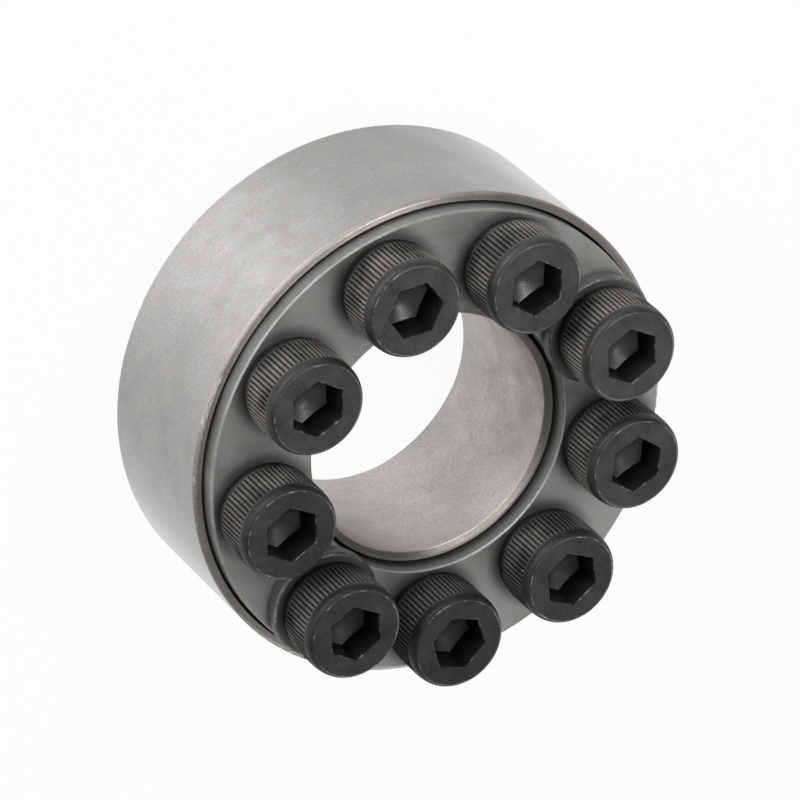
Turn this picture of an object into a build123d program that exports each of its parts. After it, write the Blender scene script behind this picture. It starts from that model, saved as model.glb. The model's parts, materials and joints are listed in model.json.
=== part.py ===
from build123d import *
from math import cos, radians, sin
import os

os.makedirs("parts", exist_ok=True)

# Shaft seat and widths along the shaft, in millimetres
shaft_diameter = 25.0
ring_width = 17.0
flange_stand = 1.5

# Walls and tapers, from the shaft outwards
inner_lip_wall = 0.7
taper_rise = 1.7
shank_room = 0.8
outer_lip_wall = 0.8
middle_land = 1.0

# Play between the pieces
taper_play = 0.05
inner_mouth_gap = 0.4
outer_mouth_gap = 0.3
nose_gap = 4.0
thread_play = 0.03
clearance_hole_play = 0.3
washer_hole_play = 0.2

# Slits that let the two tapered rings spring
outer_slit = 1.2
inner_slit = 1.2

# Edges of the rings
outer_edge_radius = 0.35
bore_lead_in = 0.5
bore_rear_break = 0.15
flange_edge_break = 0.15
nose_edge_break = 0.3
tapped_hole_break = 0.4

# Cap screws
screw_count = 9
slit_screw = 5
thread_diameter = 6.0
screw_end_setback = 2.0
screw_end_chamfer = 0.5
head_diameter = 9.9
head_height = 6.0
head_crown_width = 0.6
head_crown_depth = 0.9
head_crown_bulge = 0.16
head_foot_width = 0.35
head_foot_depth = 0.4
socket_width = 5.0
socket_depth = 3.2
socket_point_depth = 1.0
socket_turns = (28.0, 49.0, 55.0, 47.0, 0.0, 8.0, 55.0, 54.0, 52.0)

# Washers, over the two holes that are wide enough to be tapped for jacking
washer_screws = (3, 7)
washer_diameter = 11.0
washer_thickness = 1.5
washer_edge_break = 0.15
jacking_hole_diameter = 6.8

# Radii that follow, from the shaft outwards
shaft_radius = shaft_diameter / 2
shank_radius = thread_diameter / 2
inner_mouth_radius = shaft_radius + inner_lip_wall
inner_middle_radius = inner_mouth_radius + taper_rise
screw_circle_radius = inner_middle_radius + shank_room + shank_radius
outer_middle_radius = screw_circle_radius + shank_radius + shank_room
outer_mouth_radius = outer_middle_radius + taper_rise
hub_radius = outer_mouth_radius + outer_lip_wall

# Heights that follow, from the rear face up
ring_bottom = flange_stand
ring_top = ring_bottom + ring_width
front_face = ring_top + flange_stand
taper_length = (ring_width - middle_land) / 2
taper_slope = taper_rise / taper_length
nose_depth = (ring_width - nose_gap) / 2
thrust_ring_width = flange_stand + nose_depth
screw_length = front_face - screw_end_setback

screw_numbers = range(1, screw_count + 1)


def screw_place(number):
    """Centre of a screw; the numbers run clockwise seen from the heads."""
    angle = radians(90 - (number - slit_screw) * 360 / screw_count)
    return screw_circle_radius * cos(angle), screw_circle_radius * sin(angle)


def screw_seat(number):
    """Height that the underside of a screw's head rests on."""
    if number in washer_screws:
        return front_face + washer_thickness
    return front_face


def upright_plane(x, y, z):
    """Plane for a section that is turned about a vertical axis through (x, y)."""
    return Plane(origin=(x, y, z), x_dir=(1, 0, 0), z_dir=(0, -1, 0))


def thrust_ring_section(face, inward):
    """Wedge section of a thrust ring with its flange face at a height."""
    ring_end = face + inward * flange_stand
    nose = ring_end + inward * nose_depth
    outer_meet = ring_end + inward * (outer_mouth_gap - taper_play) / taper_slope
    inner_meet = ring_end + inward * (inner_mouth_gap - taper_play) / taper_slope
    taper_fall = nose_depth * taper_slope + taper_play
    flange_outer = outer_mouth_radius - outer_mouth_gap
    flange_inner = inner_mouth_radius + inner_mouth_gap
    with BuildSketch(Plane.XZ) as section:
        with BuildLine():
            Polyline(
                (flange_inner, face),
                (flange_outer, face),
                (flange_outer, outer_meet),
                (outer_mouth_radius - taper_fall, nose),
                (inner_mouth_radius + taper_fall, nose),
                (flange_inner, inner_meet),
                close=True,
            )
        make_face()
        rows = section.vertices().group_by(Axis.Y)
        face_corners, nose_corners = (rows[0], rows[-1]) if inward > 0 else (rows[-1], rows[0])
        chamfer(face_corners, length=flange_edge_break)
        fillet(nose_corners, radius=nose_edge_break)
    return section.sketch


def screw_section(x, y, seat):
    """Half section of a cap screw, from its axis out."""
    head_radius = head_diameter / 2
    crown_foot = (head_radius, head_height - head_crown_depth)
    face_rim = (head_radius - head_crown_width, head_height)
    with BuildSketch(upright_plane(x, y, seat)) as section:
        with BuildLine():
            SagittaArc(face_rim, crown_foot, head_crown_bulge)
            Polyline(
                face_rim,
                (0, head_height),
                (0, -screw_length),
                (shank_radius - screw_end_chamfer, -screw_length),
                (shank_radius, screw_end_chamfer - screw_length),
                (shank_radius, 0),
                (head_radius - head_foot_width, 0),
                (head_radius, head_foot_depth),
                crown_foot,
            )
        make_face()
    return section.sketch


def socket_punch_section(x, y, face):
    """Half section of the pointed round bar that a hexagon socket's punch is ground from."""
    bar_radius = socket_width / 2 / cos(radians(30))
    with BuildSketch(upright_plane(x, y, face)) as section:
        with BuildLine():
            Polyline(
                (0, 0),
                (bar_radius, 0),
                (bar_radius, -socket_depth),
                (0, -socket_depth - socket_point_depth),
                close=True,
            )
        make_face()
    return section.sketch


# Outer ring: hub seat outside, two tapers that meet at a narrow land inside
with BuildPart() as outer_ring:
    with BuildSketch(Plane.XZ) as outer_section:
        with BuildLine():
            Polyline(
                (hub_radius, ring_bottom),
                (hub_radius, ring_top),
                (outer_mouth_radius, ring_top),
                (outer_middle_radius, ring_top - taper_length),
                (outer_middle_radius, ring_bottom + taper_length),
                (outer_mouth_radius, ring_bottom),
                close=True,
            )
        make_face()
        fillet(outer_section.vertices().group_by(Axis.X)[-1], radius=outer_edge_radius)
    revolve(axis=Axis.Z)
    with BuildSketch(Plane.XY.offset(ring_bottom)):
        Rectangle(outer_slit, 2 * hub_radius, align=(Align.CENTER, Align.MIN))
    extrude(amount=ring_width, mode=Mode.SUBTRACT)
outer_ring.part.label = "outer_ring"
export_step(outer_ring.part, "parts/outer_ring.step")


# Inner ring: shaft seat inside, two tapers that meet at a narrow land outside
with BuildPart() as inner_ring:
    with BuildSketch(Plane.XZ):
        with BuildLine():
            Polyline(
                (shaft_radius + bore_rear_break, ring_bottom),
                (inner_mouth_radius, ring_bottom),
                (inner_middle_radius, ring_bottom + taper_length),
                (inner_middle_radius, ring_top - taper_length),
                (inner_mouth_radius, ring_top),
                (shaft_radius + bore_lead_in, ring_top),
                (shaft_radius, ring_top - bore_lead_in),
                (shaft_radius, ring_bottom + bore_rear_break),
                close=True,
            )
        make_face()
    revolve(axis=Axis.Z)
    with BuildSketch(Plane.XY.offset(ring_bottom)):
        Rectangle(inner_slit, 2 * inner_middle_radius, align=(Align.CENTER, Align.MAX))
    extrude(amount=ring_width, mode=Mode.SUBTRACT)
inner_ring.part.label = "inner_ring"
export_step(inner_ring.part, "parts/inner_ring.step")


# Front thrust ring: clearance holes, and two wider ones for the jacking thread
with BuildPart() as front_thrust_ring:
    revolve(thrust_ring_section(front_face, -1), axis=Axis.Z)
    with BuildSketch(Plane.XY.offset(front_face)):
        for number in screw_numbers:
            with Locations(screw_place(number)):
                if number in washer_screws:
                    Circle(jacking_hole_diameter / 2)
                else:
                    Circle(shank_radius + clearance_hole_play)
    extrude(amount=-thrust_ring_width, mode=Mode.SUBTRACT)
front_thrust_ring.part.label = "front_thrust_ring"
export_step(front_thrust_ring.part, "parts/front_thrust_ring.step")


# Rear thrust ring: the same wedge, tapped right through for the screws
with BuildPart() as rear_thrust_ring:
    revolve(thrust_ring_section(0, 1), axis=Axis.Z)
    with BuildSketch(Plane.XY):
        for number in screw_numbers:
            with Locations(screw_place(number)):
                Circle(shank_radius + thread_play)
    extrude(amount=thrust_ring_width, mode=Mode.SUBTRACT)
    rear_circles = rear_thrust_ring.edges().filter_by(GeomType.CIRCLE).group_by(Axis.Z)[0]
    hole_mouths = rear_circles.filter_by(lambda edge: edge.radius < thread_diameter)
    chamfer(hole_mouths, length=tapped_hole_break)
rear_thrust_ring.part.label = "rear_thrust_ring"
export_step(rear_thrust_ring.part, "parts/rear_thrust_ring.step")


# Cap screws: each socket stopped at its own turn when the screw was tightened
for number in screw_numbers:
    x, y = screw_place(number)
    seat = screw_seat(number)
    screw_axis = Axis((x, y, 0), (0, 0, 1))
    socket_turn = socket_turns[(number - 1) % len(socket_turns)]
    with BuildPart() as socket:
        revolve(socket_punch_section(x, y, seat + head_height), axis=screw_axis)
        with BuildSketch(Plane((x, y, seat + head_height))):
            RegularPolygon(socket_width / 2, 6, major_radius=False, rotation=socket_turn)
        extrude(amount=-socket_depth - socket_point_depth, mode=Mode.INTERSECT)
    with BuildPart() as screw:
        revolve(screw_section(x, y, seat), axis=screw_axis)
        add(socket.part, mode=Mode.SUBTRACT)
    screw.part.label = f"screw_{number}"
    export_step(screw.part, f"parts/screw_{number}.step")


# Washers: each lies between the front thrust ring and a screw head
for count, number in enumerate(washer_screws, start=1):
    x, y = screw_place(number)
    with BuildPart() as washer:
        with BuildSketch(Plane((x, y, front_face))):
            Circle(washer_diameter / 2)
            Circle(shank_radius + washer_hole_play, mode=Mode.SUBTRACT)
        extrude(amount=washer_thickness)
        rims = washer.edges().filter_by(GeomType.CIRCLE).sort_by(SortBy.RADIUS)[-2:]
        chamfer(rims, length=washer_edge_break)
    washer.part.label = f"washer_{count}"
    export_step(washer.part, f"parts/washer_{count}.step")
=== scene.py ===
import json
from math import ceil, cos, pi, radians, sin

import bmesh
import bpy
from bpy.props import FloatProperty, FloatVectorProperty, IntProperty, PointerProperty
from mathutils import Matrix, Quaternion, Vector


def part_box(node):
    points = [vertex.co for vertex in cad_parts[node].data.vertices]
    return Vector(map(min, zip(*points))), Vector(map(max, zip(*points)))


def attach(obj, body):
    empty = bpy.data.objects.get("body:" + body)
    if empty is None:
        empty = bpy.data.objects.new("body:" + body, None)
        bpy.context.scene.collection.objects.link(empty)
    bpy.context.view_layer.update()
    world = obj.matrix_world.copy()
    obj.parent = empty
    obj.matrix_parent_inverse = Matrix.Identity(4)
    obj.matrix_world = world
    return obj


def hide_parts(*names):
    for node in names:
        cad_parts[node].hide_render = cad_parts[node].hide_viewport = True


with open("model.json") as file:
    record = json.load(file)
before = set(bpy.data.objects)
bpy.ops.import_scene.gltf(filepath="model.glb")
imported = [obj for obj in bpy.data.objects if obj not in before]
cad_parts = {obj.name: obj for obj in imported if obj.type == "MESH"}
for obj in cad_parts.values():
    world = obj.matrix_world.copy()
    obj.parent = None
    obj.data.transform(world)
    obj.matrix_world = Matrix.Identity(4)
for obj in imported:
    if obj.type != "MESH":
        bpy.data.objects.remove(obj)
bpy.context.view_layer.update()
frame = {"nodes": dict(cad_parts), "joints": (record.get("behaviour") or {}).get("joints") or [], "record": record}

bl_info = {
    "name": "Shaft Locking Assembly",
    "version": (1, 0, 0),
    "blender": (4, 5, 0),
    "location": "View3D > Sidebar > Locking Assembly",
    "description": "Dresses a shaft locking assembly: cap screws, washers, threads and steel finishes",
    "category": "Object",
}

MM = 0.001
WASHERS = {3: "washer_1", 7: "washer_2"}
SCREW_PLACES = {
    int(joint["name"].split("_")[1]): Vector(joint["pos_m"])
    for joint in frame["joints"]
    if joint["type"] == "hinge"
}
FRONT_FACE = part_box("front_thrust_ring")[1].z
HEAD_RADIUS = (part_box("screw_1")[1].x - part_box("screw_1")[0].x) / 2
HEAD_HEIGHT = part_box("screw_1")[1].z - FRONT_FACE
SCREW_LENGTH = FRONT_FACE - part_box("screw_1")[0].z

# Sizes of the rings that their boxes don't give: the walls at their mouths, the broken edges, and how far
# the thrust rings stand off the bore
OUTER_LIP = 0.8 * MM
INNER_LIP = 0.7 * MM
BORE_LEAD_IN = 0.5 * MM
BORE_BREAK = 0.15 * MM
FLANGE_BREAK = 0.15 * MM
FLANGE_STAND_OFF = 1.1 * MM

# Radii of the M6 thread on the screw and in its hole, cut to run clear of each other, and how far from
# the screw's end the thread starts
THREAD_ROOT = 2.387 * MM
THREAD_CREST = 2.985 * MM
TAPPED_ROOT = 3.032 * MM
TAPPED_CREST = 2.53 * MM
THREAD_START = 0.55 * MM


def linear(code):
    """An sRGB hex colour as the linear red, green and blue that Blender mixes."""
    shares = [int(code[i:i + 2], 16) / 255 for i in (1, 3, 5)]
    return tuple(v / 12.92 if v <= 0.04045 else ((v + 0.055) / 1.055) ** 2.4 for v in shares)


class ScrewSettings(bpy.types.PropertyGroup):
    knurl_teeth: IntProperty(
        name="Knurl teeth", description="Ridges round each head", default=66, min=24, max=120)
    knurl_depth: FloatProperty(
        name="Knurl depth", description="Height of a ridge above its groove",
        default=0.11 * MM, min=0, unit="LENGTH", precision=5)
    knurl_foot: FloatProperty(
        name="Knurl foot", description="Height above the seat where the knurl begins",
        default=1.1 * MM, min=0, unit="LENGTH", precision=5)
    knurl_top: FloatProperty(
        name="Knurl top", description="Height above the seat where the knurl ends",
        default=5.12 * MM, min=0, unit="LENGTH", precision=5)
    crown_width: FloatProperty(
        name="Crown width", description="Width of the rolled edge round the flat face",
        default=0.48 * MM, min=0, unit="LENGTH", precision=5)
    crown_depth: FloatProperty(
        name="Crown depth", description="Depth of the rolled edge down the side",
        default=0.85 * MM, min=0, unit="LENGTH", precision=5)
    socket_width: FloatProperty(
        name="Socket width", description="Width of the hexagon socket across its flats",
        default=5 * MM, min=0, unit="LENGTH", precision=5)
    socket_depth: FloatProperty(
        name="Socket depth", description="Depth of the hexagon's walls",
        default=3.2 * MM, min=0, unit="LENGTH", precision=5)
    socket_point: FloatProperty(
        name="Socket point", description="Depth that the punch's point adds in the middle of the floor",
        default=1 * MM, min=0, unit="LENGTH", precision=5)
    socket_turns: FloatVectorProperty(
        name="Socket turns", description="Where each screw's hexagon stopped when it was tightened",
        size=9, unit="ROTATION", default=[radians(turn) for turn in (28, 49, 55, 47, 0, 8, 55, 54, 52)])
    thread_pitch: FloatProperty(
        name="Thread pitch", description="Travel of the screw in one turn",
        default=1 * MM, min=0.0001, unit="LENGTH", precision=5)
    oxide_colour: FloatVectorProperty(
        name="Black oxide", description="Colour of the blackened steel",
        subtype="COLOR", size=3, min=0, max=1, default=linear("#232221"))
    # Painted light: each screw is drawn lighter or darker by where it stands round the ring
    painted_light_levels: FloatVectorProperty(
        name="Oxide levels", description="How light each screw's oxide came out of the bath",
        size=9, min=0, default=(1.07, 1.12, 1.12, 0.95, 0.82, 0.65, 0.7, 0.78, 0.97))
    worn_colour: FloatVectorProperty(
        name="Rubbed steel", description="Colour where an edge is rubbed bright",
        subtype="COLOR", size=3, min=0, max=1, default=linear("#B8B4AE"))


class RingSettings(bpy.types.PropertyGroup):
    ground_colour: FloatVectorProperty(
        name="Ground steel", description="Colour of the outer ring",
        subtype="COLOR", size=3, min=0, max=1, default=linear("#B0ADAC"))
    bored_colour: FloatVectorProperty(
        name="Bored steel", description="Colour of the inner ring",
        subtype="COLOR", size=3, min=0, max=1, default=linear("#C6C2C0"))
    turned_colour: FloatVectorProperty(
        name="Turned steel", description="Colour of the two thrust rings",
        subtype="COLOR", size=3, min=0, max=1, default=linear("#B8B6B4"))
    rubbed_colour: FloatVectorProperty(
        name="Rubbed edge", description="Colour of a ring's rubbed edge",
        subtype="COLOR", size=3, min=0, max=1, default=linear("#C9C6C0"))


class WasherSettings(bpy.types.PropertyGroup):
    edge_roll: FloatProperty(
        name="Edge roll", description="Rounding that the punch leaves on the upper edge",
        default=0.32 * MM, min=0, unit="LENGTH", precision=5)
    oxide_colour: FloatVectorProperty(
        name="Black oxide", description="Colour of the blackened washers",
        subtype="COLOR", size=3, min=0, max=1, default=linear("#2A2A2A"))
    # Painted light: each washer is drawn lighter or darker by where it lies round the ring
    painted_light_levels: FloatVectorProperty(
        name="Oxide levels", description="How light each washer's oxide came out of the bath",
        size=2, min=0, default=(1.5, 0.78))


class StageSettings(bpy.types.PropertyGroup):
    floor_size: FloatProperty(
        name="Floor size", description="Length of the floor's side", default=4, min=0.5, unit="LENGTH")
    floor_colour: FloatVectorProperty(
        name="Floor", description="Colour of the floor",
        subtype="COLOR", size=3, min=0, max=1, default=linear("#C4C4C2"))
    floor_glow: FloatProperty(
        name="Floor glow", description="Share of the floor that shows as plain white",
        default=0.95, min=0, max=1, subtype="FACTOR")
    zenith_level: FloatProperty(
        name="Overhead level", description="Brightness of the studio straight above",
        default=0.38, min=0, max=1, subtype="FACTOR")
    side_level: FloatProperty(
        name="Side level", description="Brightness of the grey flats at the two sides",
        default=0.12, min=0, max=1, subtype="FACTOR")
    key_power: FloatProperty(
        name="Key lamp", description="Power of the low soft lamp in front",
        default=2.35, min=0, unit="POWER")
    core_power: FloatProperty(
        name="Core lamp", description="Power of the bright middle of the low soft lamp in front",
        default=0.45, min=0, unit="POWER")
    back_power: FloatProperty(
        name="Back lamps", description="Power of each of the two low soft lamps behind",
        default=0.7, min=0, unit="POWER")
    fill_power: FloatProperty(
        name="Fill lamp", description="Power of the low soft lamp beside the key",
        default=0.6, min=0, unit="POWER")
    top_power: FloatProperty(
        name="Top lamp", description="Power of the small soft lamp overhead",
        default=0.45, min=0, unit="POWER")
    camera_azimuth: FloatProperty(
        name="Camera azimuth", description="Turn of the camera round the part",
        default=radians(4.157), unit="ROTATION")
    camera_elevation: FloatProperty(
        name="Camera elevation", description="Height of the camera above the horizon",
        default=radians(51.693), unit="ROTATION")
    camera_roll: FloatProperty(
        name="Camera roll", description="Turn of the camera about its own line of sight",
        default=radians(131.649), unit="ROTATION")
    camera_distance: FloatProperty(
        name="Camera distance", description="Distance from the camera to the point it looks at",
        default=561.791 * MM, min=0.01, unit="LENGTH", precision=5)
    camera_aim: FloatVectorProperty(
        name="Camera aim", description="Point that the camera looks at",
        size=3, subtype="TRANSLATION", unit="LENGTH", precision=6,
        default=(-0.4696 * MM, -1.1965 * MM, 12.8342 * MM))
    camera_lens: FloatProperty(
        name="Camera lens", description="Focal length in millimetres", default=264.664, min=1)


def add_node(tree, kind, inputs=None, out=0, **settings):
    """Adds a shader node, sets its options and gives each input a value or a link. Returns the output
    that out names, or all of its outputs where out is None."""
    node = tree.nodes.new("ShaderNode" + kind)
    for name, value in settings.items():
        setattr(node, name, value)
    for key, value in (inputs or {}).items():
        if isinstance(value, bpy.types.NodeSocket):
            tree.links.new(value, node.inputs[key])
        else:
            node.inputs[key].default_value = value
    return node.outputs if out is None else node.outputs[out]


def start_material(name):
    """A new material with its tree emptied, and the place of each point in the piece's own frame."""
    material = bpy.data.materials.new(name)
    material.use_nodes = True
    tree = material.node_tree
    tree.nodes.clear()
    return material, tree, add_node(tree, "TexCoord", out="Object")


def finish_material(tree, colour, roughness, bump, metallic, anisotropic=0.0, ior=1.5, specular=0.5):
    """Ends a tree in one Principled shader. Even values go straight on its sockets."""
    inputs = {
        "Base Color": colour, "Roughness": roughness, "Metallic": metallic, "Normal": bump, "IOR": ior,
        "Specular IOR Level": specular}
    if anisotropic:
        inputs["Anisotropic"] = anisotropic
        inputs["Anisotropic Rotation"] = 0.25
        inputs["Tangent"] = add_node(tree, "Tangent", direction_type="RADIAL", axis="Z")
    shader = add_node(tree, "BsdfPrincipled", inputs)
    add_node(tree, "OutputMaterial", {"Surface": shader}, out=None)


def radius_and_height(tree, place):
    """Distance from the axis and height of each point."""
    flat = add_node(tree, "VectorMath", {0: place, 1: (1, 1, 0)}, operation="MULTIPLY")
    radius = add_node(tree, "VectorMath", {0: flat}, out="Value", operation="LENGTH")
    return radius, add_node(tree, "SeparateXYZ", {0: place}, out="Z")


def edge_lines(tree, radius, height, edges):
    """1 on the circles in edges, each a radius, a height and a half width, and 0 away from them."""
    here = add_node(tree, "CombineXYZ", {"X": radius, "Y": height})
    lines = 0.0
    for ring, level, width in edges:
        away = add_node(
            tree, "VectorMath", {0: here, 1: (ring, level, 0)}, out="Value", operation="DISTANCE")
        line = add_node(
            tree, "MapRange", {"Value": away, "From Min": width, "From Max": width * 0.35},
            interpolation_type="SMOOTHSTEP")
        lines = add_node(tree, "Math", {0: lines, 1: line}, operation="MAXIMUM")
    return lines


def small_marks(tree, place, cells_per_metre, share, size, channel):
    """1 in small round marks, one in each of a share of the cells, and 0 between them. size is the
    largest mark's radius as a share of a cell, and channel is the random number that picks the cells."""
    cells = add_node(
        tree, "TexVoronoi", {"Vector": place, "Scale": cells_per_metre, "Randomness": 1}, out=None)
    chosen = add_node(tree, "SeparateColor", {"Color": cells["Color"]}, out=channel)
    radius = add_node(
        tree, "MapRange",
        {"Value": chosen, "From Min": 1 - share, "From Max": 1, "To Min": 0, "To Max": size})
    return add_node(tree, "Math", {0: cells["Distance"], 1: radius}, operation="LESS_THAN")


def steel_patterns(tree, place, radius, height, across):
    """The clouds, blotches, grain and tool marks of machined steel, each from 0 to 1."""
    # Clouds of 9 mm and blotches of 2.5 mm, from handling and oil
    clouds = add_node(tree, "TexNoise", {"Vector": place, "Scale": 110, "Detail": 2, "Roughness": 0.5})
    blotches = add_node(tree, "TexNoise", {"Vector": place, "Scale": 400, "Detail": 3, "Roughness": 0.6})
    # Grain of 0.02 mm grit is too fine to show, so it is drawn 0.16 mm wide
    grain = add_node(tree, "TexNoise", {"Vector": place, "Scale": 6200, "Detail": 2, "Roughness": 0.7})
    # Tool marks: 3 mm long round the axis and 0.1 mm apart, drawn from a feed of 0.05 mm
    parts = add_node(tree, "SeparateXYZ", {0: place}, out=None)
    spacing = radius if across else height
    run = add_node(tree, "CombineXYZ", {"X": parts["X"], "Y": parts["Y"], "Z": spacing})
    run = add_node(tree, "VectorMath", {0: run, 1: (320, 320, 9000)}, operation="MULTIPLY")
    marks = add_node(tree, "TexNoise", {"Vector": run, "Scale": 1, "Detail": 2, "Roughness": 0.6})
    return clouds, blotches, grain, marks


def steel_level(tree, clouds, grain, marks, coarse):
    """How light the steel is: each pattern shifts it a little, from darker to lighter."""
    level = 1.0
    for pattern, low, high, darker, lighter in (
            (clouds, 0.3, 0.7, 0.07, 0.06),
            (grain, 0.25, 0.75, 0.22, 0.22),
            (marks, 0.25, 0.75, 0.06, 0.06)):
        shade = add_node(
            tree, "MapRange",
            {"Value": pattern, "From Min": low, "From Max": high,
             "To Min": 1 - darker * coarse, "To Max": 1 + lighter * coarse})
        level = add_node(tree, "Math", {0: level, 1: shade}, operation="MULTIPLY")
    return level


def painted_shade_round_heads(tree, place, radius, height):
    """Painted shade: 1 on the open face, down to 0.5 in a painted shadow that lies round the nearest screw head.
    """
    circle = SCREW_PLACES[1].xy.length
    first = SCREW_PLACES[1].xy.angle_signed(Vector((1, 0)))
    pitch = 2 * pi / len(SCREW_PLACES)
    # The angle folds over at every half pitch, which brings each head to the X axis
    parts = add_node(tree, "SeparateXYZ", {0: place}, out=None)
    angle = add_node(tree, "Math", {0: parts["Y"], 1: parts["X"]}, operation="ARCTAN2")
    angle = add_node(tree, "Math", {0: angle, 1: first}, operation="SUBTRACT")
    angle = add_node(tree, "Math", {0: angle, 1: pitch / 2}, operation="PINGPONG")
    east = add_node(tree, "Math", {0: angle}, operation="COSINE")
    north = add_node(tree, "Math", {0: angle}, operation="SINE")
    spoke = add_node(tree, "CombineXYZ", {"X": east, "Y": north})
    spoke = add_node(tree, "VectorMath", {0: spoke, "Scale": radius}, operation="SCALE")
    away = add_node(
        tree, "VectorMath", {0: spoke, 1: (circle, 0, 0)}, out="Value", operation="DISTANCE")
    shade_depth = add_node(
        tree, "MapRange",
        {"Value": away, "From Min": HEAD_RADIUS + 1.3 * MM, "From Max": HEAD_RADIUS - 0.1 * MM,
         "To Min": 0, "To Max": 0.5},
        interpolation_type="SMOOTHSTEP")
    on_face = add_node(tree, "Math", {0: height, 1: FRONT_FACE - 0.02 * MM}, operation="GREATER_THAN")
    shade_depth = add_node(tree, "Math", {0: shade_depth, 1: on_face}, operation="MULTIPLY")
    return add_node(tree, "Math", {0: 1.0, 1: shade_depth}, operation="SUBTRACT")


def tone_off_ground(tree, body, radius, ground, off_ground_tone):
    """The body colour, multiplied by the given tone away from the ground span of radii. Below 1 it is partly an
    oil stain and partly painted shade on chamfers and edges against the lamps' highlights; above 1 it is painted
    light.
    """
    low, high = ground
    away = add_node(tree, "Math", {0: radius, 1: (low + high) / 2}, operation="SUBTRACT")
    away = add_node(tree, "Math", {0: away}, operation="ABSOLUTE")
    edge = (high - low) / 2
    share = add_node(
        tree, "MapRange", {"Value": away, "From Min": edge, "From Max": edge + 0.06 * MM},
        interpolation_type="SMOOTHSTEP")
    retoned = add_node(
        tree, "Mix", {0: 1.0, 6: body, 7: (*off_ground_tone, 1)}, out=2, data_type="RGBA", blend_type="MULTIPLY")
    return add_node(tree, "Mix", {"Factor": share, 6: body, 7: retoned}, out=2, data_type="RGBA")


def satin(tree, blotches, lines, roughness, grazing):
    """The steel's roughness: the blotches shift it a little, and it is dull on the rubbed lines."""
    dull = add_node(
        tree, "MapRange",
        {"Value": blotches, "From Min": 0.3, "From Max": 0.7,
         "To Min": roughness - 0.05, "To Max": roughness + 0.05})
    if grazing:
        # Seen at a low angle, the fine scratches hide one another and the satin turns to a mirror
        facing = add_node(tree, "LayerWeight", {"Blend": 0.5}, out="Facing")
        low_angle = add_node(tree, "MapRange", {"Value": facing, "From Min": 0.62, "From Max": 0.86})
        dull = add_node(tree, "Mix", {"Factor": low_angle, 2: dull, 3: grazing}, data_type="FLOAT")
    return add_node(tree, "Mix", {"Factor": lines, 2: dull, 3: 0.75}, data_type="FLOAT")


def steel_ring(name, colour, rubbed, edges, ground, off_ground_tone, roughness, pitted_share, coarse,
               anisotropic=0.0, across=False, grazing=None, shade_under_heads=False):
    """Bare steel, machined round the axis and then tumbled. The eye gets a satin grey with a soft
    bright band down the cylinder, soft cloudy patches, a fine grain, short tool marks round the axis,
    a few dark pits and thin broken bright lines where corners are rubbed; coarse scales how strongly
    all of these show. Away from the ground span of radii the colour takes the given tone. On the inner and
    thrust rings this is partly the stain of their oil and partly painted shade, which darkens chamfers and edges
    against the lamps' highlights. On the outer ring it is painted light, which lightens its lip and edges. A face
    under screw heads gets painted shade round each head. grazing is the roughness of what is seen at a low angle."""
    material, tree, place = start_material(name)
    radius, height = radius_and_height(tree, place)
    clouds, blotches, grain, marks = steel_patterns(tree, place, radius, height, across)
    # Pits up to 0.2 mm wide, a few to the square centimetre
    pits = small_marks(tree, place, 620, pitted_share, 0.06, "Red")

    # Colour: the patterns shift it lighter and darker, and the blotches warmer and cooler
    level = steel_level(tree, clouds, grain, marks, coarse)
    # Painted shade round each screw head, on a face that lies under the heads
    if shade_under_heads:
        unshaded = painted_shade_round_heads(tree, place, radius, height)
        level = add_node(tree, "Math", {0: level, 1: unshaded}, operation="MULTIPLY")
    red, green, blue = colour
    warm = (red * 1.02, green * 1.02, blue * 0.96, 1)
    cool = (red * 0.98, green, blue * 1.04, 1)
    body = add_node(tree, "Mix", {"Factor": blotches, 6: warm, 7: cool}, out=2, data_type="RGBA")
    body = add_node(tree, "VectorMath", {0: body, "Scale": level}, operation="SCALE")
    # Off the ground span: oil stain and painted shade on chamfers and edges, and painted light on the outer ring
    body = tone_off_ground(tree, body, radius, ground, off_ground_tone)
    dark = (red * 0.45, green * 0.43, blue * 0.40, 1)
    body = add_node(tree, "Mix", {"Factor": pits, 6: body, 7: dark}, out=2, data_type="RGBA")

    # Rubbed edges: the line breaks up every millimetre or two
    lines = edge_lines(tree, radius, height, edges)
    broken = add_node(
        tree, "MapRange",
        {"Value": blotches, "From Min": 0.42, "From Max": 0.62, "To Min": 0.05, "To Max": 0.45})
    rub = add_node(tree, "Math", {0: lines, 1: broken}, operation="MULTIPLY")
    body = add_node(tree, "Mix", {"Factor": rub, 6: body, 7: (*rubbed, 1)}, out=2, data_type="RGBA")

    dull = satin(tree, blotches, lines, roughness, grazing)
    relief = add_node(tree, "Math", {0: grain, 1: marks}, operation="ADD")
    relief = add_node(tree, "Math", {0: pits, 1: -1.2, 2: relief}, operation="MULTIPLY_ADD")
    bump = add_node(tree, "Bump", {"Height": relief, "Strength": 0.5, "Distance": 0.014 * MM})
    finish_material(tree, body, dull, bump, 1.0, anisotropic)
    return material


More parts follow.
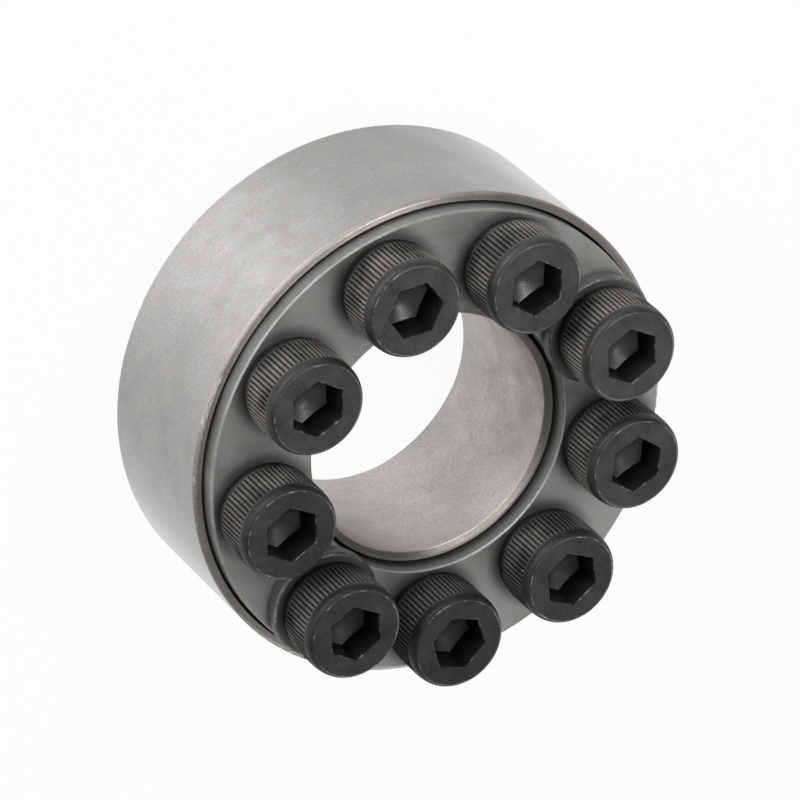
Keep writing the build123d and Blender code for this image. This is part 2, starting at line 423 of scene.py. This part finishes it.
def head_zones(tree, radius, height, screw):
    """Zones of a cap screw: its knurl, the rolled edge above it, its socket and the socket's floor. Each
    is 1 in its zone and 0 elsewhere."""
    root = HEAD_RADIUS - screw.knurl_depth
    side = add_node(tree, "Math", {0: radius, 1: root - 0.01 * MM}, operation="GREATER_THAN")
    band = add_node(
        tree, "MapRange",
        {"Value": height, "From Min": screw.knurl_top, "From Max": screw.knurl_top - 0.3 * MM},
        interpolation_type="SMOOTHSTEP")
    knurl = add_node(tree, "Math", {0: side, 1: band}, operation="MULTIPLY")
    face_radius = HEAD_RADIUS - screw.crown_width
    rolled = add_node(
        tree, "MapRange", {"Value": radius, "From Min": face_radius, "From Max": face_radius + 0.15 * MM})
    above = add_node(tree, "Math", {0: height, 1: screw.knurl_top}, operation="GREATER_THAN")
    crown = add_node(tree, "Math", {0: rolled, 1: above}, operation="MULTIPLY")
    # A hexagon's corners reach 1.155 times its half width
    inside = add_node(tree, "Math", {0: radius, 1: screw.socket_width / 2 * 1.17}, operation="LESS_THAN")
    below = add_node(tree, "Math", {0: height, 1: HEAD_HEIGHT - 0.01 * MM}, operation="LESS_THAN")
    socket = add_node(tree, "Math", {0: inside, 1: below}, operation="MULTIPLY")
    floor_height = HEAD_HEIGHT - screw.socket_depth
    deep = add_node(tree, "Math", {0: height, 1: floor_height + 0.02 * MM}, operation="LESS_THAN")
    floor = add_node(tree, "Math", {0: inside, 1: deep}, operation="MULTIPLY")
    return {"knurl": knurl, "crown": crown, "socket": socket, "floor": floor}


def head_tones(tree, own, radius, height, screw, zones):
    """How light and how glossy a head is, from one zone to the next."""
    # Ridge tops are lighter and the grooves darker: partly polish from handling and oil in the grooves, partly
    # painted light on the ridges and painted shade in the grooves. Dark oil also lies in patches of 4 mm
    root = HEAD_RADIUS - screw.knurl_depth
    ridge = add_node(
        tree, "MapRange",
        {"Value": radius, "From Min": root, "From Max": root + 0.9 * screw.knurl_depth,
         "To Min": 0.7, "To Max": 9})
    oil = add_node(tree, "TexNoise", {"Vector": own, "Scale": 230, "Detail": 2, "Roughness": 0.5})
    oil = add_node(
        tree, "MapRange", {"Value": oil, "From Min": 0.36, "From Max": 0.58, "To Min": 0.42, "To Max": 1.1})
    ridge = add_node(tree, "Math", {0: ridge, 1: oil}, operation="MULTIPLY")
    # Painted shade darkens the lowest two millimetres, above the seat, where the head meets the ring
    foot = add_node(
        tree, "MapRange",
        {"Value": height, "From Min": 0, "From Max": 2.6 * MM, "To Min": 0.35, "To Max": 1},
        interpolation_type="SMOOTHSTEP")
    # The rolled edge is left dull by the tumbling barrel, and the punch leaves the socket's floor smooth.
    # Painted shade: the socket's walls are drawn darker, and its floor darker still
    tones = []
    for plain, on_knurl, on_crown, on_walls, on_floor in (
            (1.0, ridge, 1.15, 0.5, 0.12), (0.34, 0.0, 0.15, 0.15, 0.5)):
        tone = add_node(tree, "Mix", {"Factor": zones["knurl"], 2: plain, 3: on_knurl}, data_type="FLOAT")
        tone = add_node(tree, "Math", {0: tone, 1: foot}, operation="MULTIPLY")
        tone = add_node(tree, "Mix", {"Factor": zones["crown"], 2: tone, 3: on_crown}, data_type="FLOAT")
        hollow = add_node(
            tree, "Mix", {"Factor": zones["floor"], 2: on_walls, 3: on_floor}, data_type="FLOAT")
        tone = add_node(tree, "Mix", {"Factor": zones["socket"], 2: tone, 3: hollow}, data_type="FLOAT")
        tones.append(tone)
    return tones


def hexagon_rim(tree, place, height, screw):
    """0.5 on a thin line round the socket's mouth, on the face only, and 0 elsewhere."""
    reach = 0.0
    for turn in (30, 90, 150):
        flat = (cos(radians(turn)), sin(radians(turn)), 0)
        across = add_node(tree, "VectorMath", {0: place, 1: flat}, out="Value", operation="DOT_PRODUCT")
        across = add_node(tree, "Math", {0: across}, operation="ABSOLUTE")
        reach = add_node(tree, "Math", {0: reach, 1: across}, operation="MAXIMUM")
    mouth = screw.socket_width / 2 + 0.04 * MM
    rim = add_node(tree, "Math", {0: reach, 1: mouth, 2: 0.06 * MM}, operation="COMPARE")
    face = add_node(tree, "Math", {0: height, 1: HEAD_HEIGHT - 0.12 * MM}, operation="GREATER_THAN")
    rim = add_node(tree, "Math", {0: rim, 1: face}, operation="MULTIPLY")
    return add_node(tree, "Math", {0: rim, 1: 0.5}, operation="MULTIPLY")


def rubbed_bare(tree, own, lines):
    """How much bare steel shows: in short arcs along the lines, and in specks between them."""
    # The arcs break off every half millimetre
    wear = add_node(tree, "TexNoise", {"Vector": own, "Scale": 900, "Detail": 3, "Roughness": 0.65})
    wear = add_node(
        tree, "MapRange", {"Value": wear, "From Min": 0.51, "From Max": 0.66, "To Min": 0.0, "To Max": 0.58})
    arcs = add_node(tree, "Math", {0: lines, 1: wear}, operation="MULTIPLY")
    # Knocks: half-bright specks up to 0.2 mm wide
    specks = small_marks(tree, own, 900, 0.05, 0.09, "Green")
    specks = add_node(tree, "Math", {0: specks, 1: 0.5}, operation="MULTIPLY")
    return add_node(tree, "Math", {0: arcs, 1: specks}, operation="MAXIMUM")


def black_oxide(name, colour, worn, seed, edges, screw=None):
    """Alloy steel, quenched, blackened in a hot salt bath and oiled. The eye gets a deep neutral
    black with a dull sheen, faint smoky patches, ridges that catch the light over darker grooves,
    and bare steel in thin broken arcs and specks where edges are rubbed. Painted light and shade: the
    ridges are drawn lighter and the grooves darker, a head darker at its foot and in its socket, and each
    piece lighter or darker by its object colour."""
    material, tree, place = start_material(name)
    radius, height = radius_and_height(tree, place)
    # Each piece has its own patches, so the pattern is moved by the piece's own random number
    piece = add_node(tree, "ObjectInfo", out=None)
    shift = add_node(
        tree, "VectorMath", {0: (seed, 0.7 * seed, 0.3 * seed), "Scale": piece["Random"]}, operation="SCALE")
    own = add_node(tree, "VectorMath", {0: place, 1: shift}, operation="ADD")
    # Smoky patches of 2.5 mm, and a fine 0.12 mm bloom drawn from crystals of a few microns
    smoke = add_node(tree, "TexNoise", {"Vector": own, "Scale": 400, "Detail": 5, "Roughness": 0.7})
    bloom = add_node(tree, "TexNoise", {"Vector": own, "Scale": 8000, "Detail": 1, "Roughness": 0.6})
    shade = add_node(
        tree, "MapRange", {"Value": smoke, "From Min": 0.3, "From Max": 0.7, "To Min": 0.72, "To Max": 1.28})
    fine = add_node(
        tree, "MapRange",
        {"Value": bloom, "From Min": 0.25, "From Max": 0.75, "To Min": 0.75, "To Max": 1.25})
    level = add_node(tree, "Math", {0: shade, 1: fine}, operation="MULTIPLY")
    # Painted light: its object colour draws each piece lighter or darker, for the light that falls more on one
    # side of the assembly than the other
    painted_level = add_node(tree, "SeparateColor", {"Color": piece["Color"]}, out="Red")
    level = add_node(tree, "Math", {0: level, 1: painted_level}, operation="MULTIPLY")
    dull = add_node(
        tree, "MapRange", {"Value": smoke, "From Min": 0.3, "From Max": 0.7, "To Min": 0.44, "To Max": 0.58})
    shine = 0.5
    rub = edge_lines(tree, radius, height, edges)
    if screw:
        zones = head_zones(tree, radius, height, screw)
        light, gloss = head_tones(tree, own, radius, height, screw, zones)
        shine = add_node(tree, "Math", {0: gloss, 1: level}, operation="MULTIPLY")
        level = add_node(tree, "Math", {0: level, 1: light}, operation="MULTIPLY")
        dull = add_node(tree, "Mix", {"Factor": zones["floor"], 2: dull, 3: 0.27}, data_type="FLOAT")
        rim = hexagon_rim(tree, place, height, screw)
        rub = add_node(tree, "Math", {0: rub, 1: rim}, operation="MAXIMUM")
    body = add_node(tree, "VectorMath", {0: tuple(colour), "Scale": level}, operation="SCALE")
    rub = rubbed_bare(tree, own, rub)
    body = add_node(tree, "Mix", {"Factor": rub, 6: body, 7: (*worn, 1)}, out=2, data_type="RGBA")
    bump = add_node(tree, "Bump", {"Height": bloom, "Strength": 0.4, "Distance": 0.012 * MM})
    finish_material(tree, body, dull, bump, rub, ior=1.85, specular=shine)
    return material


def circle_points(radius, height, angles):
    """One turn of points at a height; radius is a number or a function of the angle."""
    reach = radius if callable(radius) else lambda angle: radius
    return [(reach(a) * cos(a), reach(a) * sin(a), height) for a in angles]


def join_rows(mesh, rows, closed=False):
    """Skins rows of points that each run once round the axis, and returns their corners."""
    loops = [[mesh.verts.new(point) for point in row] for row in rows]
    pairs = list(zip(loops, loops[1:]))
    if closed:
        pairs.append((loops[-1], loops[0]))
    for low, high in pairs:
        for i in range(len(low)):
            j = (i + 1) % len(low)
            mesh.faces.new((low[i], low[j], high[j], high[i]))
    return loops


def sweep_thread(mesh, pitch, bottom, top, base, crest, base_width, crest_width):
    """A right-hand thread ridge between two heights, run in and out over half a turn."""
    steps = 36
    count = int((top - bottom) / pitch * steps)
    sections = []
    for i in range(count + 1):
        angle = 2 * pi * i / steps
        middle = bottom + pitch * i / steps
        rise = min(1, max(0.04, i * 2 / steps), max(0.04, (count - i) * 2 / steps))
        tip = base + (crest - base) * rise
        half_tip = (base_width + (crest_width - base_width) * rise) / 2
        corners = (
            (base, -base_width / 2), (tip, -half_tip), (tip, half_tip), (base, base_width / 2))
        sections.append([
            mesh.verts.new((r * cos(angle), r * sin(angle), middle + z)) for r, z in corners])
    for low, high in zip(sections, sections[1:]):
        for i in range(4):
            j = (i + 1) % 4
            mesh.faces.new((low[i], low[j], high[j], high[i]))
    mesh.faces.new(sections[0])
    mesh.faces.new(sections[-1])


def finish_shape(mesh, name, crease, soft=None):
    """Turns the skin outwards, creases its sharp edges, and gives an object in the scene."""
    bmesh.ops.recalc_face_normals(mesh, faces=mesh.faces)
    for edge in mesh.edges:
        bent = edge.calc_face_angle(0) > crease
        edge.smooth = not bent or (soft is not None and soft(edge))
    for face in mesh.faces:
        face.smooth = True
    data = bpy.data.meshes.new(name)
    mesh.to_mesh(data)
    mesh.free()
    piece = bpy.data.objects.new(name, data)
    bpy.context.scene.collection.objects.link(piece)
    return piece


def hexagon(half_width):
    """Radius of a hexagon, as a function of the angle, with a corner at zero angle."""
    def at(angle):
        return half_width / cos((angle % (pi / 3)) - pi / 6)
    return at


def head_profile(settings):
    """The head's side from its seat up over the crown to the socket's mouth, as pairs of a radius, which
    may be a function of the angle, and a height."""
    teeth = settings.knurl_teeth
    plain = HEAD_RADIUS - 0.06 * MM
    half_width = settings.socket_width / 2
    face_radius = HEAD_RADIUS - settings.crown_width

    def knurl(share):
        """Radius round the head, a share of the way from plain to fully knurled."""
        def at(angle):
            ridge = (1 + cos(angle * teeth)) / 2
            tooth = HEAD_RADIUS - settings.knurl_depth * (1 - ridge)
            return plain + (tooth - plain) * share
        return at

    # The rounded foot, then the knurl, which runs in at its foot and out at its top
    foot, top = settings.knurl_foot, settings.knurl_top
    side = [(HEAD_RADIUS - drop * MM, height * MM) for drop, height in
            ((0.36, 0), (0.27, 0.08), (0.2, 0.22), (0.13, 0.45), (0.08, 0.75))]
    side.append((plain, foot))
    for share, height in ((0.35, 0.1), (0.75, 0.2), (1, 0.35)):
        side.append((knurl(share), foot + height * MM))
    for share, height in ((1, 0.4), (0.7, 0.22), (0.3, 0.1), (0, 0)):
        side.append((knurl(share), top - height * MM))

    # The crown, a stretched arc that meets the face at a slight corner
    crown_foot = HEAD_HEIGHT - settings.crown_depth
    rim_height = HEAD_HEIGHT - 0.02 * MM
    arc, steps = radians(84), 7
    for step in range(1, steps + 1):
        turn = arc * step / steps
        side.append((plain - (plain - face_radius) * (1 - cos(turn)) / (1 - cos(arc)),
                     crown_foot + (rim_height - crown_foot) * sin(turn) / sin(arc)))
    side.append((face_radius - 0.03 * MM, HEAD_HEIGHT))
    side.append((hexagon(half_width + 0.09 * MM), HEAD_HEIGHT))
    side.append((hexagon(half_width), HEAD_HEIGHT - 0.08 * MM))
    return side


def screw_shape(settings):
    """A socket head cap screw on its own axis, with the underside of its head at zero height."""
    mesh = bmesh.new()
    points = settings.knurl_teeth * 8
    angles = [2 * pi * i / points for i in range(points)]
    rows = [circle_points(radius, height, angles) for radius, height in head_profile(settings)]

    # The socket's floor is the point of a round bar, so it is lower at the flats than at the corners
    half_width = settings.socket_width / 2
    floor = HEAD_HEIGHT - settings.socket_depth
    bar = half_width / cos(pi / 6)
    for share in (1, 0.5):
        rows.append([
            (x * share, y * share, floor - settings.socket_point * (1 - Vector((x, y)).length * share / bar))
            for x, y, _ in circle_points(hexagon(half_width), floor, angles)])
    loops = join_rows(mesh, rows)
    mesh.faces.new(loops[0])
    point = mesh.verts.new((0, 0, floor - settings.socket_point))
    last = loops[-1]
    for i, corner in enumerate(last):
        mesh.faces.new((corner, last[(i + 1) % len(last)], point))

    # The shank: a core of the thread's root diameter, and the thread wound on it
    pitch = settings.thread_pitch
    end = -SCREW_LENGTH
    turn = [2 * pi * i / 48 for i in range(48)]
    core = [
        (2.0 * MM, end), (THREAD_ROOT, end + 0.35 * MM), (THREAD_ROOT, -1.5 * MM),
        (THREAD_CREST, -0.9 * MM), (THREAD_CREST, 0.05 * MM)]
    loops = join_rows(mesh, [circle_points(radius, height, turn) for radius, height in core])
    mesh.faces.new(loops[0])
    mesh.faces.new(loops[-1])
    sweep_thread(
        mesh, pitch, end + THREAD_START, -1.0 * MM, THREAD_ROOT - 0.03 * MM, THREAD_CREST,
        0.86 * pitch, 0.125 * pitch)

    def in_knurl(edge):
        a, b = (v.co for v in edge.verts)
        low, high = settings.knurl_foot - 0.01 * MM, settings.knurl_top + 0.01 * MM
        return low <= min(a.z, b.z) and max(a.z, b.z) <= high and a.xy.length > HEAD_RADIUS * 0.9

    return finish_shape(mesh, "cap_screw", radians(28), in_knurl)


def seat_height(number):
    """Height of the face that a screw's head rests on."""
    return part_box(f"screw_{number}")[1].z - HEAD_HEIGHT


class FinishRings(bpy.types.Operator):
    """Gives the four rings their machined steel finishes"""
    bl_idname = "locking.finish_rings"
    bl_label = "Finish Rings"

    def execute(self, context):
        settings = context.scene.locking_rings
        rubbed = settings.rubbed_colour
        outer_low, outer_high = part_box("outer_ring")
        inner_low, inner_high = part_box("inner_ring")
        wall = outer_high.x
        bore = next(m["dims"]["r_mm"] for m in frame["record"]["mounts"] if m["name"] == "shaft_bore") * MM
        flange_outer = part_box("front_thrust_ring")[1].x
        flange_inner = bore + FLANGE_STAND_OFF

        # Where each ring is rubbed: radius, height and half width
        outer_edges, thrust_edges = [], []
        for level, into in ((outer_high.z, -1), (outer_low.z, 1)):
            outer_edges.append((wall - OUTER_LIP, level, 0.07 * MM))
            outer_edges.append((wall - 0.1 * MM, level + into * 0.12 * MM, 0.2 * MM))
        inner_edges = [
            (bore + BORE_LEAD_IN, inner_high.z, 0.09 * MM), (bore + INNER_LIP, inner_high.z, 0.07 * MM),
            (bore + BORE_BREAK, inner_low.z, 0.08 * MM),
        ]
        for level, into in ((FRONT_FACE, -1), (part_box("rear_thrust_ring")[0].z, 1)):
            thrust_edges.append((flange_outer, level + into * FLANGE_BREAK, 0.1 * MM))
            thrust_edges.append((flange_outer - FLANGE_BREAK, level, 0.1 * MM))
            thrust_edges.append((flange_inner + FLANGE_BREAK, level, 0.09 * MM))

        # The tone after ground paints the skin off the ground span. The thrust rings' and inner ring's chamfers
        # and edges get painted shade, partly with their oil stain, and the outer ring's lip gets painted light.
        # The thrust rings' face also gets painted shade round the screw heads.
        turned = steel_ring(
            "turned_steel", settings.turned_colour, rubbed, thrust_edges,
            ground=(flange_inner + 0.1 * MM, flange_outer - 0.2 * MM), off_ground_tone=(0.65, 0.655, 0.67),
            roughness=0.5, pitted_share=0.1, coarse=1.1, across=True, shade_under_heads=True)
        made = {
            "outer_ring": steel_ring(
                "ground_steel_outer", settings.ground_colour, rubbed, outer_edges,
                ground=(wall - 0.02 * MM, wall + 0.1 * MM), off_ground_tone=(1.1, 1.08, 1.02),
                roughness=0.38, pitted_share=0.04, coarse=1.1, anisotropic=0.86, grazing=0.16),
            "inner_ring": steel_ring(
                "bored_steel_inner", settings.bored_colour, rubbed, inner_edges,
                ground=(bore - 0.1 * MM, bore + 0.04 * MM), off_ground_tone=(0.6, 0.59, 0.55),
                roughness=0.42, pitted_share=0.3, coarse=1.3, anisotropic=0.85),
            "front_thrust_ring": turned,
            "rear_thrust_ring": turned,
        }
        for name, material in made.items():
            for place in frame["nodes"][name].material_slots:
                place.material = material
        return {"FINISHED"}


class AddScrews(bpy.types.Operator):
    """Adds the nine cap screws, with knurled heads, hexagon sockets and rolled threads"""
    bl_idname = "locking.add_screws"
    bl_label = "Add Cap Screws"

    def execute(self, context):
        settings = context.scene.locking_screws
        if len(SCREW_PLACES) != len(settings.socket_turns):
            raise RuntimeError("the frame and the settings differ in their number of screws")
        finish = black_oxide(
            "black_oxide_alloy_steel", settings.oxide_colour, settings.worn_colour, 3.1,
            [(HEAD_RADIUS - settings.crown_width, HEAD_HEIGHT, 0.07 * MM)], screw=settings)
        pattern = screw_shape(settings)
        pattern.data.materials.append(finish)
        for number, place in sorted(SCREW_PLACES.items()):
            piece = bpy.data.objects.new(f"cap_screw_{number}", pattern.data.copy())
            context.scene.collection.objects.link(piece)
            piece.location = (place.x, place.y, seat_height(number))
            piece.rotation_euler.z = settings.socket_turns[number - 1]
            # Painted light: the object colour draws this head lighter or darker by where it stands
            piece.color = (*[settings.painted_light_levels[number - 1]] * 3, 1)
            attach(piece, f"screw_{number}")
            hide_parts(f"screw_{number}")
        bpy.data.objects.remove(pattern)
        return {"FINISHED"}


class AddWashers(bpy.types.Operator):
    """Adds the two washers that lie over the jacking holes"""
    bl_idname = "locking.add_washers"
    bl_label = "Add Washers"

    def execute(self, context):
        settings = context.scene.locking_washers
        worn = context.scene.locking_screws.worn_colour
        turn = [2 * pi * i / 128 for i in range(128)]
        hole = 3.2 * MM
        bevel = 0.1 * MM
        lower_bevel = 0.06 * MM
        roll = settings.edge_roll
        for level, (number, node) in zip(settings.painted_light_levels, sorted(WASHERS.items())):
            low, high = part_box(node)
            radius, thick = (high.x - low.x) / 2, high.z - low.z
            profile = [(hole, bevel), (hole, thick - bevel), (hole + bevel, thick)]
            for step in range(7):
                bend = pi / 2 * (1 - step / 6)
                profile.append((radius - roll + roll * cos(bend), thick - roll + roll * sin(bend)))
            profile += [(radius, lower_bevel), (radius - lower_bevel, 0), (hole + bevel, 0)]
            mesh = bmesh.new()
            join_rows(mesh, [circle_points(r, z, turn) for r, z in profile], closed=True)
            piece = finish_shape(mesh, f"punched_{node}", radians(35))
            edges = [(radius - 0.1 * MM, thick - 0.1 * MM, 0.16 * MM), (radius, 0.03 * MM, 0.07 * MM)]
            piece.data.materials.append(
                black_oxide(f"black_oxide_washer_{number}", settings.oxide_colour, worn, 2.3, edges))
            piece.location = ((low.x + high.x) / 2, (low.y + high.y) / 2, low.z)
            # Painted light: the object colour draws this washer lighter or darker by where it lies
            piece.color = (level, level, level, 1)
            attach(piece, "front_thrust")
            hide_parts(node)
        return {"FINISHED"}


class CutThreads(bpy.types.Operator):
    """Cuts the thread of each tapped hole in the rear thrust ring, in step with its screw"""
    bl_idname = "locking.cut_threads"
    bl_label = "Cut Threads"

    def execute(self, context):
        settings = context.scene.locking_screws
        pitch = settings.thread_pitch
        rear_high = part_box("rear_thrust_ring")[1].z
        finish = frame["nodes"]["rear_thrust_ring"].material_slots[0].material
        for number, place in sorted(SCREW_PLACES.items()):
            seat = seat_height(number)
            # The ridge stays clear of the hole's two mouths, and lies half a pitch from the screw's ridge
            lowest = 0.75 * MM - seat
            highest = rear_high - 0.3 * MM - seat
            in_step = -SCREW_LENGTH + THREAD_START + pitch / 2
            bottom = in_step + ceil((lowest - in_step) / pitch) * pitch
            mesh = bmesh.new()
            sweep_thread(
                mesh, pitch, bottom, highest, TAPPED_ROOT, TAPPED_CREST, 0.84 * pitch, 0.26 * pitch)
            piece = finish_shape(mesh, f"tapped_thread_{number}", radians(25))
            piece.data.materials.append(finish)
            piece.location = (place.x, place.y, seat)
            piece.rotation_euler.z = settings.socket_turns[number - 1]
            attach(piece, "rear_thrust")
        return {"FINISHED"}


def lay_floor(scene, settings):
    """Matt card that keeps the shadow, mixed with plain white for what looks at it."""
    half = settings.floor_size / 2
    data = bpy.data.meshes.new("studio_floor")
    data.from_pydata(
        [(-half, -half, 0), (half, -half, 0), (half, half, 0), (-half, half, 0)], [], [(0, 1, 2, 3)])
    floor = bpy.data.objects.new("studio_floor", data)
    scene.collection.objects.link(floor)
    material = bpy.data.materials.new("matt_card")
    material.use_nodes = True
    tree = material.node_tree
    tree.nodes.clear()
    rays = add_node(tree, "LightPath", out=None)
    looked = rays["Is Camera Ray"]
    for kind in ("Is Glossy Ray", "Is Transmission Ray"):
        looked = add_node(tree, "Math", {0: looked, 1: rays[kind]}, operation="MAXIMUM")
    share = add_node(tree, "Math", {0: looked, 1: settings.floor_glow}, operation="MULTIPLY")
    card = add_node(tree, "BsdfDiffuse", {"Color": (*settings.floor_colour, 1)})
    white = add_node(tree, "Emission", {"Color": (1, 1, 1, 1), "Strength": 1})
    both = add_node(tree, "MixShader", {0: share, 1: card, 2: white})
    add_node(tree, "OutputMaterial", {"Surface": both}, out=None)
    floor.data.materials.append(material)


def paint_studio(scene, settings):
    """White at the horizon and higher behind, greyer overhead, with a grey flat at each side."""
    world = bpy.data.worlds.new("soft_studio")
    scene.world = world
    world.use_nodes = True
    tree = world.node_tree
    tree.nodes.clear()
    towards = add_node(tree, "TexCoord", out="Generated")
    parts = add_node(tree, "SeparateXYZ", {0: towards}, out=None)
    behind = add_node(tree, "Math", {0: parts["Y"], 1: 0.0}, operation="MAXIMUM")
    lowered = add_node(tree, "Math", {0: behind, 1: -0.3, 2: parts["Z"]}, operation="MULTIPLY_ADD")
    fall = add_node(
        tree, "MapRange", {"Value": lowered, "From Min": 0.05, "From Max": 0.35},
        interpolation_type="SMOOTHSTEP")
    horizon = 0.97
    zenith = settings.zenith_level
    side = settings.side_level
    sky = add_node(
        tree, "Mix", {"Factor": fall, 6: (horizon, horizon, horizon, 1), 7: (zenith, zenith, zenith, 1)},
        out=2, data_type="RGBA")
    aside = add_node(tree, "Math", {0: parts["X"]}, operation="ABSOLUTE")
    aside = add_node(
        tree, "MapRange", {"Value": aside, "From Min": 0.45, "From Max": 0.9},
        interpolation_type="SMOOTHSTEP")
    raised = add_node(
        tree, "MapRange", {"Value": parts["Z"], "From Min": 0.04, "From Max": 0.14},
        interpolation_type="SMOOTHSTEP")
    flat = add_node(tree, "Math", {0: aside, 1: raised}, operation="MULTIPLY")
    sky = add_node(tree, "Mix", {"Factor": flat, 6: sky, 7: (side, side, side, 1)}, out=2, data_type="RGBA")
    back = add_node(tree, "Background", {"Color": sky, "Strength": 1})
    add_node(tree, "OutputWorld", {"Surface": back}, out=None)


def hang_lamps(scene, settings):
    """Low soft lamps on the side that the camera looks from, two behind, and a small one overhead."""
    middle = Vector((0, 0, 15 * MM))
    # Direction from the part, then distance, width, height and power
    for name, direction, away, width, height, power in (
            ("low_softbox", (0, -1, 0.27), 0.55, 0.55, 0.27, settings.key_power),
            ("low_softbox_core", (0, -1, 0.27), 0.54, 0.18, 0.27, settings.core_power),
            ("fill_softbox", (0.6, -0.8, 0.2), 0.55, 0.3, 0.2, settings.fill_power),
            ("back_softbox_left", (-0.5, 0.86, 0.15), 0.55, 0.3, 0.13, settings.back_power),
            ("back_softbox_right", (0.5, 0.86, 0.15), 0.55, 0.3, 0.13, settings.back_power),
            ("top_softbox", (-0.43, -0.22, 0.88), 0.35, 0.13, 0.13, settings.top_power)):
        light = bpy.data.lights.new(name, "AREA")
        light.shape = "RECTANGLE"
        light.size, light.size_y = width, height
        light.energy = power
        lamp = bpy.data.objects.new(name, light)
        scene.collection.objects.link(lamp)
        from_side = Vector(direction).normalized()
        lamp.location = middle + from_side * away
        lamp.rotation_mode = "QUATERNION"
        lamp.rotation_quaternion = from_side.to_track_quat("Z", "Y")


def place_camera(scene, settings):
    """A camera at the photograph's angle, rolled as the photograph is."""
    view = bpy.data.cameras.new("photo_camera")
    view.sensor_width = 36
    view.lens = settings.camera_lens
    view.clip_start, view.clip_end = 0.01, 50
    camera = bpy.data.objects.new("photo_camera", view)
    scene.collection.objects.link(camera)
    scene.camera = camera
    a, e = settings.camera_azimuth, settings.camera_elevation
    towards_camera = Vector((sin(a) * cos(e), -cos(a) * cos(e), sin(e)))
    camera.location = Vector(settings.camera_aim) + towards_camera * settings.camera_distance
    camera.rotation_mode = "QUATERNION"
    level_view = towards_camera.to_track_quat("Z", "Y")
    camera.rotation_quaternion = level_view @ Quaternion((0, 0, 1), settings.camera_roll)


class SetStage(bpy.types.Operator):
    """Sets the pale floor, the soft studio light and the camera"""
    bl_idname = "locking.set_stage"
    bl_label = "Set Stage"

    def execute(self, context):
        scene = context.scene
        scene.view_settings.view_transform = "Standard"
        for step in (lay_floor, paint_studio, hang_lamps, place_camera):
            step(scene, scene.locking_stage)
        return {"FINISHED"}


class LockingAssemblyPanel(bpy.types.Panel):
    """Lists the pieces of the locking assembly and the sizes and colours that shape them"""
    bl_idname = "VIEW3D_PT_locking_assembly"
    bl_label = "Shaft Locking Assembly"
    bl_space_type = "VIEW_3D"
    bl_region_type = "UI"
    bl_category = "Locking Assembly"

    def draw(self, context):
        layout = self.layout
        groups = (
            (FinishRings, context.scene.locking_rings),
            (AddScrews, context.scene.locking_screws),
            (AddWashers, context.scene.locking_washers),
            (CutThreads, None),
            (SetStage, context.scene.locking_stage),
        )
        for operator, settings in groups:
            box = layout.box()
            box.operator(operator.bl_idname)
            if settings:
                for name in settings.bl_rna.properties.keys():
                    if name not in {"rna_type", "name"}:
                        box.prop(settings, name)


CLASSES = (
    ScrewSettings, RingSettings, WasherSettings, StageSettings,
    FinishRings, AddScrews, AddWashers, CutThreads, SetStage, LockingAssemblyPanel,
)


def register():
    for one in CLASSES:
        bpy.utils.register_class(one)
    bpy.types.Scene.locking_screws = PointerProperty(type=ScrewSettings)
    bpy.types.Scene.locking_rings = PointerProperty(type=RingSettings)
    bpy.types.Scene.locking_washers = PointerProperty(type=WasherSettings)
    bpy.types.Scene.locking_stage = PointerProperty(type=StageSettings)


def unregister():
    del bpy.types.Scene.locking_stage
    del bpy.types.Scene.locking_washers
    del bpy.types.Scene.locking_rings
    del bpy.types.Scene.locking_screws
    for one in reversed(CLASSES):
        bpy.utils.unregister_class(one)


def main():
    register()
    bpy.ops.locking.finish_rings()
    bpy.ops.locking.add_screws()
    bpy.ops.locking.add_washers()
    bpy.ops.locking.cut_threads()
    bpy.ops.locking.set_stage()


if __name__ == "__main__":
    main()
